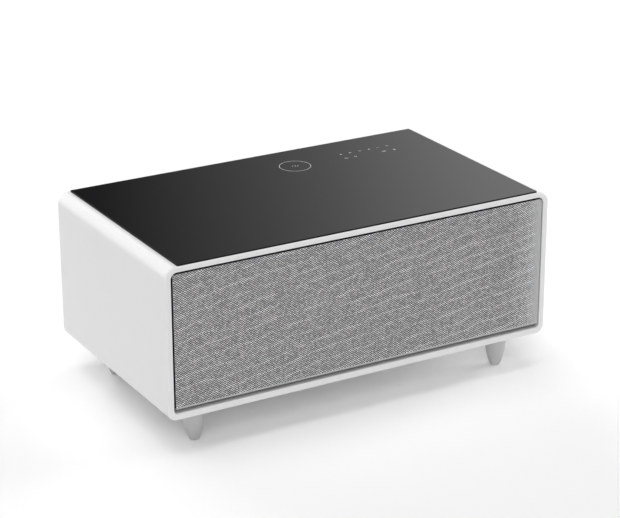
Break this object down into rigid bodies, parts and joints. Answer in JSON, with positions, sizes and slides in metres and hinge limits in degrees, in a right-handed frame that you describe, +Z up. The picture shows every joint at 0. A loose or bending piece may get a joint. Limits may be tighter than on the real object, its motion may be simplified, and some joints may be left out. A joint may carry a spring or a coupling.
{
  "type": "refrigerator coffee table",
  "caption": "Low table with a rounded white body, black glass top with touch signs, insulated sliding drawer with a woven front, tapered legs and a rear cooling compartment.",
  "frame": {"origin": "on the floor, under the middle of the table", "axes": "+X to the right as seen from the drawer's side, +Y from the drawer to the back, +Z up"},
  "size_m": [1, 0.565, 0.45],
  "materials": {
    "white_lacquer": "white satin lacquer on bent board",
    "cover_plastic": "white fine-grained plastic",
    "liner_plastic": "white formed plastic",
    "insulation_foam": "cream rigid foam",
    "galvanised_steel": "galvanised sheet",
    "slide_steel": "zinc-plated rolled steel",
    "black_glass": "back-painted polished glass",
    "black_rubber": "matt",
    "grey_rubber": "matt",
    "copper": "drawn copper",
    "circuit_board": "green solder mask",
    "leg_lacquer": "pale grey satin lacquer",
    "woven_cloth": "grey open weave",
    "fibreboard": "bare fibreboard",
    "bin_plastic": "pale moulded plastic",
    "fin_aluminium": "bare fins",
    "black_painted_steel": "black semi-gloss paint",
    "black_plastic": "black moulded plastic"
  },
  "bodies": {
    "cabinet": {"cabinet_wrap": "white_lacquer", "inner_liner": "liner_plastic", "foam_insulation": "insulation_foam", "front_flange": "galvanised_steel", "machine_bulkhead": "galvanised_steel", "rear_cover": "cover_plastic", "top_glass": "black_glass", "glass_bedding_tape": "black_rubber", "top_deck": "liner_plastic", "charging_coil": "copper", "touch_board": "circuit_board", "leg_front_left": "leg_lacquer", "glide_front_left": "grey_rubber", "leg_front_right": "leg_lacquer", "glide_front_right": "grey_rubber", "leg_back_left": "leg_lacquer", "glide_back_left": "grey_rubber", "leg_back_right": "leg_lacquer", "glide_back_right": "grey_rubber", "slide_outer_left": "slide_steel", "slide_outer_right": "slide_steel", "evaporator": "fin_aluminium", "evaporator_cover": "liner_plastic", "evaporator_fan_frame": "black_plastic", "drain_tube": "grey_rubber", "compressor_tray": "galvanised_steel", "compressor": "black_painted_steel", "rubber_mount_1": "black_rubber", "rubber_mount_2": "black_rubber", "rubber_mount_3": "black_rubber", "rubber_mount_4": "black_rubber", "evaporation_tray": "bin_plastic", "condenser": "fin_aluminium", "condenser_fan_frame": "black_plastic", "control_box": "black_plastic", "power_inlet": "black_plastic", "speaker_left": "black_plastic", "speaker_right": "black_plastic", "discharge_line": "copper", "liquid_line": "copper", "filter_drier": "copper", "capillary_tube": "copper", "suction_line": "copper"},
    "drawer": {"front_cloth": "woven_cloth", "door_board": "fibreboard", "door_core": "liner_plastic", "door_gasket": "grey_rubber", "drawer_bin": "bin_plastic", "drawer_rail_left": "galvanised_steel", "drawer_rail_right": "galvanised_steel", "slide_inner_left": "slide_steel", "slide_inner_right": "slide_steel"},
    "middle_left": {"slide_middle_left": "slide_steel"},
    "middle_right": {"slide_middle_right": "slide_steel"},
    "outer_cage_left": {"outer_ball_cage_left": "slide_steel"},
    "outer_cage_right": {"outer_ball_cage_right": "slide_steel"},
    "inner_cage_left": {"inner_ball_cage_left": "slide_steel"},
    "inner_cage_right": {"inner_ball_cage_right": "slide_steel"},
    "cold_fan": {"evaporator_fan_rotor": "black_plastic"},
    "hot_fan": {"condenser_fan_rotor": "black_plastic"}
  },
  "joints": [
    {"name": "drawer_slide", "type": "slide", "parent": "cabinet", "child": "drawer", "axis": [0, -1, 0], "range_m": [0, 0.3]},
    {"name": "middle_left_slide", "type": "slide", "parent": "cabinet", "child": "middle_left", "axis": [0, -1, 0], "range_m": [0, 0.15]},
    {"name": "middle_right_slide", "type": "slide", "parent": "cabinet", "child": "middle_right", "axis": [0, -1, 0], "range_m": [0, 0.15]},
    {"name": "outer_cage_left_slide", "type": "slide", "parent": "cabinet", "child": "outer_cage_left", "axis": [0, -1, 0], "range_m": [0, 0.075]},
    {"name": "outer_cage_right_slide", "type": "slide", "parent": "cabinet", "child": "outer_cage_right", "axis": [0, -1, 0], "range_m": [0, 0.075]},
    {"name": "inner_cage_left_slide", "type": "slide", "parent": "cabinet", "child": "inner_cage_left", "axis": [0, -1, 0], "range_m": [0, 0.225]},
    {"name": "inner_cage_right_slide", "type": "slide", "parent": "cabinet", "child": "inner_cage_right", "axis": [0, -1, 0], "range_m": [0, 0.225]},
    {"name": "cold_fan_spin", "type": "hinge", "parent": "cabinet", "child": "cold_fan", "pos_m": [0, 0.0825, 0.332], "axis": [0, 1, 0], "continuous": true},
    {"name": "hot_fan_spin", "type": "hinge", "parent": "cabinet", "child": "hot_fan", "pos_m": [0, 0.2125, 0.1866], "axis": [0, 1, 0], "continuous": true}
  ],
  "couplings": [
    {"joint": "middle_left_slide", "follows": "drawer_slide", "ratio": 0.5},
    {"joint": "middle_right_slide", "follows": "drawer_slide", "ratio": 0.5},
    {"joint": "outer_cage_left_slide", "follows": "drawer_slide", "ratio": 0.25},
    {"joint": "outer_cage_right_slide", "follows": "drawer_slide", "ratio": 0.25},
    {"joint": "inner_cage_left_slide", "follows": "drawer_slide", "ratio": 0.75},
    {"joint": "inner_cage_right_slide", "follows": "drawer_slide", "ratio": 0.75}
  ]
}
